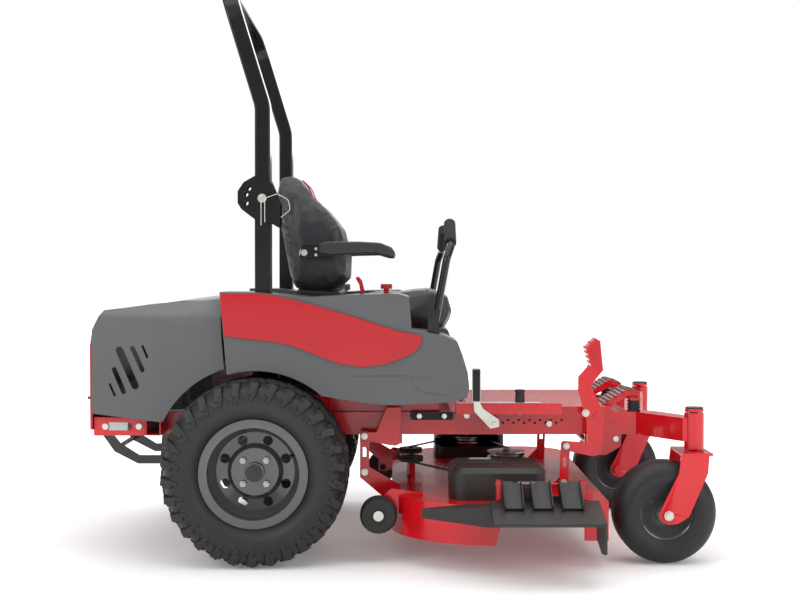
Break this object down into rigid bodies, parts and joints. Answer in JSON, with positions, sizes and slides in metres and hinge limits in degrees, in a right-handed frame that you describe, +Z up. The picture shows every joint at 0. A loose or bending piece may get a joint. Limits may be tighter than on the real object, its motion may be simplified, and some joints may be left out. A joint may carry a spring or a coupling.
{
  "type": "zero turn mower",
  "caption": "Riding zero turn lawn mower with twin steering levers, folding roll bar, sprung seat and a hanging side-discharge cutter deck.",
  "frame": {"origin": "on the ground, under the middle of the machine's outside box", "axes": "+X forward, +Y to the driver's left, +Z up"},
  "size_m": [2.145, 1.715, 1.9235],
  "materials": {
    "red_paint": "gloss red powder coat",
    "black_paint": "semi-gloss black paint",
    "rim_paint": "gloss charcoal paint",
    "zinc": "zinc-plated steel",
    "steel": "bare steel",
    "cast_metal": "sand-cast aluminium",
    "tyre_rubber": "matte tyre rubber",
    "black_rubber": "moulded rubber",
    "grey_plastic": "fine-grained grey moulding",
    "black_plastic": "grained black moulding",
    "red_plastic": "gloss red moulding",
    "vinyl": "stitched black vinyl",
    "foam": "closed-cell foam grip"
  },
  "bodies": {
    "chassis": {"main_frame": "red_paint", "rear_bumper": "red_paint", "rear_guard": "black_paint", "floor_pan": "red_paint", "footrests": "red_paint", "rubber_mounts": "black_rubber", "height_channel": "red_paint", "frame_bolts": "zinc", "rops_posts": "black_paint", "rops_pins": "zinc", "pod_right": "grey_plastic", "pod_left": "grey_plastic", "red_panels": "red_plastic", "rear_hood": "grey_plastic", "rear_panel": "red_plastic", "seat_platform": "red_paint", "engine_block": "cast_metal", "engine_shroud": "black_plastic", "transaxles": "cast_metal"},
    "clutch": {"clutch_pulley": "steel"},
    "rops_hoop": {"rops_hoop": "black_paint"},
    "seat_tilt": {"seat_frame": "black_paint"},
    "seat": {"seat_cushion": "vinyl", "seat_back": "vinyl"},
    "throttle": {"throttle_lever": "red_plastic"},
    "pto": {"pto_knob": "red_plastic"},
    "height_pin": {"height_pin": "zinc"},
    "lock_lever": {"lock_lever": "zinc"},
    "deck": {"deck_shell": "red_paint", "belt_covers": "black_plastic", "deck_belt": "black_rubber", "hanger_straps": "red_paint"},
    "deflector": {"deflector": "black_plastic"},
    "pedal": {"lift_pedal": "red_paint"},
    "rear_cranks": {"rear_cranks": "red_paint"},
    "drive_wheel_right": {"drive_tyre_right": "tyre_rubber", "drive_rim_right": "rim_paint", "wheel_hub_right": "steel"},
    "caster_fork_right": {"caster_fork_right": "red_paint"},
    "caster_wheel_right": {"caster_tyre_right": "tyre_rubber", "caster_rim_right": "rim_paint"},
    "armrest_right": {"armrest_right": "vinyl"},
    "lever_base_right": {"lever_base_right": "black_paint"},
    "lever_right": {"lever_tube_right": "black_paint", "lever_grip_right": "foam"},
    "roller_right": {"roller_right": "black_rubber"},
    "drive_wheel_left": {"drive_tyre_left": "tyre_rubber", "drive_rim_left": "rim_paint", "wheel_hub_left": "steel"},
    "caster_fork_left": {"caster_fork_left": "red_paint"},
    "caster_wheel_left": {"caster_tyre_left": "tyre_rubber", "caster_rim_left": "rim_paint"},
    "armrest_left": {"armrest_left": "vinyl"},
    "lever_base_left": {"lever_base_left": "black_paint"},
    "lever_left": {"lever_tube_left": "black_paint", "lever_grip_left": "foam"},
    "roller_left": {"roller_left": "black_rubber"},
    "blade_right": {"blade_right": "steel"},
    "blade_centre": {"blade_centre": "steel"},
    "blade_left": {"blade_left": "steel"}
  },
  "joints": [
    {"name": "drive_wheel_right_spin", "type": "hinge", "parent": "chassis", "child": "drive_wheel_right", "pos_m": [-0.4125, -0.4375, 0.3], "axis": [0, 1, 0], "continuous": true},
    {"name": "caster_right_swivel", "type": "hinge", "parent": "chassis", "child": "caster_fork_right", "pos_m": [1.0075, -0.4325, 0.3625], "axis": [0, 0, 1], "continuous": true},
    {"name": "caster_right_spin", "type": "hinge", "parent": "caster_fork_right", "child": "caster_wheel_right", "pos_m": [0.9075, -0.4325, 0.165], "axis": [0, 1, 0], "continuous": true},
    {"name": "armrest_right_flip", "type": "hinge", "parent": "seat", "child": "armrest_right", "pos_m": [-0.2725, -0.2155, 1.005], "axis": [0, -1, 0], "range_deg": [0, 95]},
    {"name": "lever_right_drive", "type": "hinge", "parent": "chassis", "child": "lever_base_right", "pos_m": [0.1605, -0.4475, 0.61], "axis": [0, -1, 0], "range_deg": [-16, 10]},
    {"name": "lever_right_fold", "type": "hinge", "parent": "lever_base_right", "child": "lever_right", "pos_m": [0.1605, -0.4429, 0.752], "axis": [1, 0, 0], "range_deg": [-22, 0]},
    {"name": "roller_right_spin", "type": "hinge", "parent": "deck", "child": "roller_right", "pos_m": [-0.0165, -0.4675, 0.158], "axis": [0, 1, 0], "continuous": true},
    {"name": "drive_wheel_left_spin", "type": "hinge", "parent": "chassis", "child": "drive_wheel_left", "pos_m": [-0.4125, 0.6225, 0.3], "axis": [0, 1, 0], "continuous": true},
    {"name": "caster_left_swivel", "type": "hinge", "parent": "chassis", "child": "caster_fork_left", "pos_m": [1.0075, 0.6175, 0.3625], "axis": [0, 0, 1], "continuous": true},
    {"name": "caster_left_spin", "type": "hinge", "parent": "caster_fork_left", "child": "caster_wheel_left", "pos_m": [0.9075, 0.6175, 0.165], "axis": [0, 1, 0], "continuous": true},
    {"name": "armrest_left_flip", "type": "hinge", "parent": "seat", "child": "armrest_left", "pos_m": [-0.2725, 0.4005, 1.005], "axis": [0, -1, 0], "range_deg": [0, 95]},
    {"name": "lever_left_drive", "type": "hinge", "parent": "chassis", "child": "lever_base_left", "pos_m": [0.1605, 0.6325, 0.61], "axis": [0, -1, 0], "range_deg": [-16, 10]},
    {"name": "lever_left_fold", "type": "hinge", "parent": "lever_base_left", "child": "lever_left", "pos_m": [0.1605, 0.6279, 0.752], "axis": [-1, 0, 0], "range_deg": [-22, 0]},
    {"name": "roller_left_spin", "type": "hinge", "parent": "deck", "child": "roller_left", "pos_m": [-0.0165, 0.6825, 0.158], "axis": [0, 1, 0], "continuous": true},
    {"name": "rops_fold", "type": "hinge", "parent": "chassis", "child": "rops_hoop", "pos_m": [-0.3945, 0.0925, 1.179], "axis": [0, -1, 0], "range_deg": [0, 100]},
    {"name": "seat_tilt", "type": "hinge", "parent": "chassis", "child": "seat_tilt", "pos_m": [0.1695, 0.0925, 0.668], "axis": [0, 1, 0], "range_deg": [0, 30]},
    {"name": "seat_slide", "type": "slide", "parent": "seat_tilt", "child": "seat", "axis": [1, 0, 0], "range_m": [0, 0.09]},
    {"name": "throttle_swing", "type": "hinge", "parent": "chassis", "child": "throttle", "pos_m": [-0.0745, -0.3555, 0.85], "axis": [0, 1, 0], "range_deg": [-25, 18]},
    {"name": "pto_pull", "type": "slide", "parent": "chassis", "child": "pto", "axis": [0, 0, 1], "range_m": [0, 0.012]},
    {"name": "height_pin_lift", "type": "slide", "parent": "chassis", "child": "height_pin", "axis": [0, 0, 1], "range_m": [0, 0.036]},
    {"name": "lock_swing", "type": "hinge", "parent": "chassis", "child": "lock_lever", "pos_m": [0.3675, -0.3075, 0.434], "axis": [0, 1, 0], "range_deg": [0, 38]},
    {"name": "deck_lift", "type": "slide", "parent": "chassis", "child": "deck", "axis": [0, 0, 1], "range_m": [-0.04, 0.055]},
    {"name": "pedal_swing", "type": "hinge", "parent": "chassis", "child": "pedal", "pos_m": [0.7055, 0.0925, 0.348], "axis": [0, 1, 0], "range_deg": [-24, 33]},
    {"name": "rear_crank_swing", "type": "hinge", "parent": "chassis", "child": "rear_cranks", "pos_m": [0.0341, 0.0925, 0.379], "axis": [0, 1, 0], "range_deg": [-24, 33]},
    {"name": "deflector_lift", "type": "hinge", "parent": "deck", "child": "deflector", "pos_m": [0.3655, -0.6495, 0.282], "axis": [-1, 0, 0], "range_deg": [0, 80], "stiffness_Nm_per_rad": 8},
    {"name": "blade_right_spin", "type": "hinge", "parent": "deck", "child": "blade_right", "pos_m": [0.3155, -0.3695, 0.268], "axis": [0, 0, 1], "continuous": true},
    {"name": "blade_centre_spin", "type": "hinge", "parent": "deck", "child": "blade_centre", "pos_m": [0.4375, 0.1065, 0.268], "axis": [0, 0, 1], "continuous": true},
    {"name": "blade_left_spin", "type": "hinge", "parent": "deck", "child": "blade_left", "pos_m": [0.3155, 0.5825, 0.268], "axis": [0, 0, 1], "continuous": true},
    {"name": "clutch_spin", "type": "hinge", "parent": "chassis", "child": "clutch", "pos_m": [-0.6525, 0.0925, 0.3], "axis": [0, 0, 1], "continuous": true}
  ],
  "couplings": [
    {"joint": "pedal_swing", "follows": "deck_lift", "rad_per_m": 10},
    {"joint": "rear_crank_swing", "follows": "deck_lift", "rad_per_m": 10},
    {"joint": "blade_right_spin", "follows": "blade_centre_spin", "ratio": 1},
    {"joint": "blade_left_spin", "follows": "blade_centre_spin", "ratio": 1},
    {"joint": "clutch_spin", "follows": "blade_centre_spin", "ratio": 1}
  ]
}
